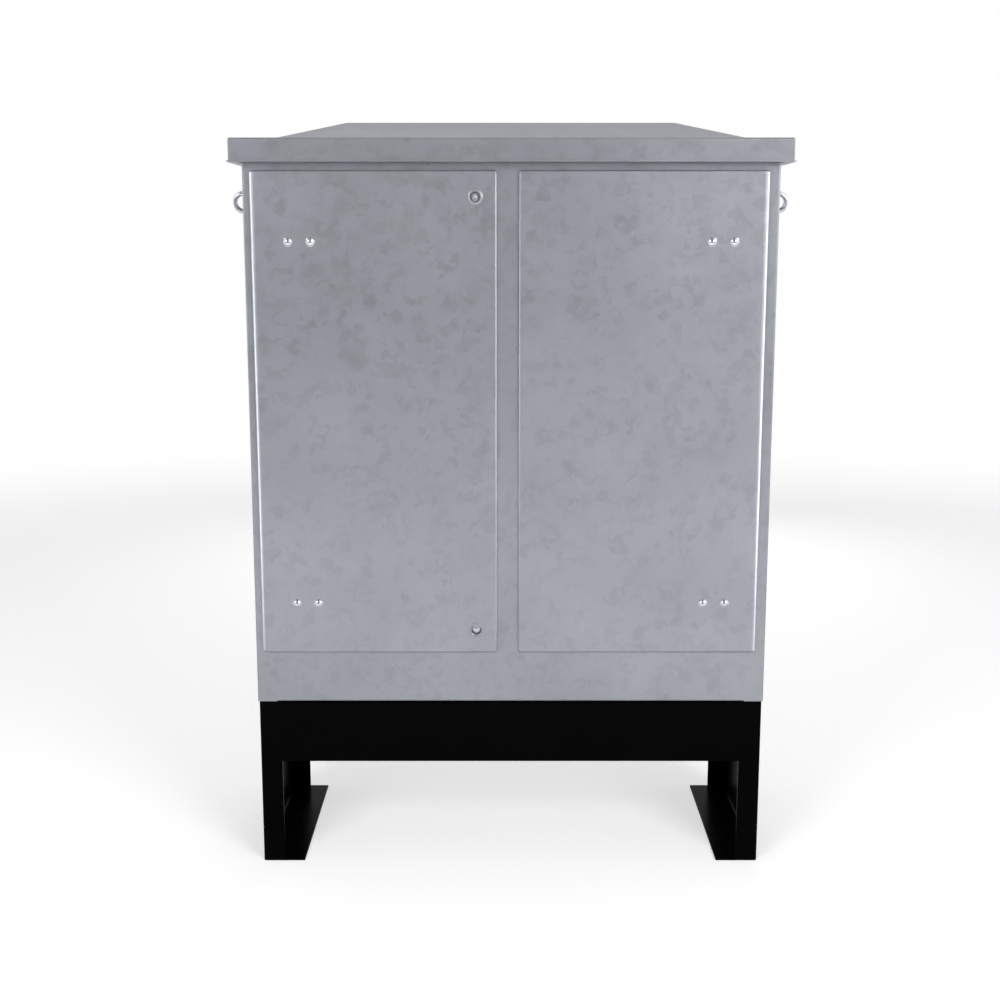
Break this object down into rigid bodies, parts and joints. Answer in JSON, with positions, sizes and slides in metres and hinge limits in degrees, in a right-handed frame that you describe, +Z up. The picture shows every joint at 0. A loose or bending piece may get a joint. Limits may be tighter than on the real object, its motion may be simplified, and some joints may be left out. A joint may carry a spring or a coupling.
{
  "type": "feeder pillar",
  "caption": "Free-standing steel electrical cabinet with overlaid hinged doors, a low hipped roof lid, side lifting eyes and an open-fronted black root with inward feet.",
  "frame": {"origin": "on the ground, under the middle of the cabinet", "axes": "+X to the right of a person facing the doors, +Y towards the back, +Z up"},
  "size_m": [1.11, 0.4476, 1.4628],
  "materials": {
    "galvanised_steel": "hot-dip galvanised, dull with faint spangle",
    "root_paint": "glossy black paint",
    "polished_stainless": "polished stainless steel",
    "zinc_plate": "bright zinc plate",
    "foam_seal": "closed-cell foam",
    "plywood": "bare birch plywood",
    "brass": "plain brass"
  },
  "bodies": {
    "root": {"back_panel": "galvanised_steel", "backboard": "plywood", "backboard_nuts": "zinc_plate", "backboard_rail_lower": "zinc_plate", "backboard_rail_upper": "zinc_plate", "backboard_screws": "zinc_plate", "centre_post": "galvanised_steel", "centre_post_nuts": "zinc_plate", "earth_nuts": "brass", "earth_stud": "brass", "earth_washer": "brass", "eye_nuts_left": "zinc_plate", "eye_nuts_right": "zinc_plate", "head_rail": "galvanised_steel", "hinge_bracket_left_lower": "zinc_plate", "hinge_bracket_left_upper": "zinc_plate", "hinge_bracket_right_lower": "zinc_plate", "hinge_bracket_right_upper": "zinc_plate", "hinge_pins_left": "zinc_plate", "hinge_pins_right": "zinc_plate", "lifting_eye_left": "zinc_plate", "lifting_eye_right": "zinc_plate", "roof": "galvanised_steel", "roof_nuts": "zinc_plate", "root_bolts": "zinc_plate", "root_front_band": "root_paint", "root_nuts": "zinc_plate", "root_rear_band": "root_paint", "root_side_left": "root_paint", "root_side_right": "root_paint", "side_panel_left": "galvanised_steel", "side_panel_right": "galvanised_steel", "sill_panel": "galvanised_steel"},
    "left_door": {"left_door": "galvanised_steel", "left_door_seal": "foam_seal", "hinge_arm_left_upper": "zinc_plate", "hinge_arm_left_lower": "zinc_plate", "hinge_bolts_left": "polished_stainless", "hinge_nuts_left": "zinc_plate", "lock_housing_upper": "polished_stainless", "lock_housing_lower": "polished_stainless", "lock_nut_upper": "zinc_plate", "lock_nut_lower": "zinc_plate"},
    "right_door": {"right_door": "galvanised_steel", "right_door_seal": "foam_seal", "hinge_arm_right_upper": "zinc_plate", "hinge_arm_right_lower": "zinc_plate", "hinge_bolts_right": "polished_stainless", "hinge_nuts_right": "zinc_plate", "shoot_bolt_keeper_upper": "zinc_plate", "shoot_bolt_keeper_lower": "zinc_plate"},
    "upper_lock": {"lock_spindle_upper": "zinc_plate", "lock_cam_upper": "zinc_plate", "cam_screw_upper": "zinc_plate"},
    "lower_lock": {"lock_spindle_lower": "zinc_plate", "lock_cam_lower": "zinc_plate", "cam_screw_lower": "zinc_plate"},
    "upper_shoot_bolt": {"shoot_bolt_upper": "zinc_plate"},
    "lower_shoot_bolt": {"shoot_bolt_lower": "zinc_plate"}
  },
  "joints": [
    {"name": "left_door_hinge", "type": "hinge", "parent": "root", "child": "left_door", "pos_m": [-0.489, -0.178, 0.9], "axis": [0, 0, -1], "range_deg": [0, 110]},
    {"name": "right_door_hinge", "type": "hinge", "parent": "root", "child": "right_door", "pos_m": [0.489, -0.178, 0.9], "axis": [0, 0, 1], "range_deg": [0, 110]},
    {"name": "upper_lock_turn", "type": "hinge", "parent": "left_door", "child": "upper_lock", "pos_m": [-0.0671, -0.2, 1.3127], "axis": [0, 1, 0], "range_deg": [0, 90]},
    {"name": "lower_lock_turn", "type": "hinge", "parent": "left_door", "child": "lower_lock", "pos_m": [-0.0671, -0.2, 0.4845], "axis": [0, -1, 0], "range_deg": [0, 90]},
    {"name": "upper_shoot_bolt_slide", "type": "slide", "parent": "right_door", "child": "upper_shoot_bolt", "axis": [0, 0, 1], "range_m": [0, 0.018]},
    {"name": "lower_shoot_bolt_slide", "type": "slide", "parent": "right_door", "child": "lower_shoot_bolt", "axis": [0, 0, -1], "range_m": [0, 0.018]}
  ]
}
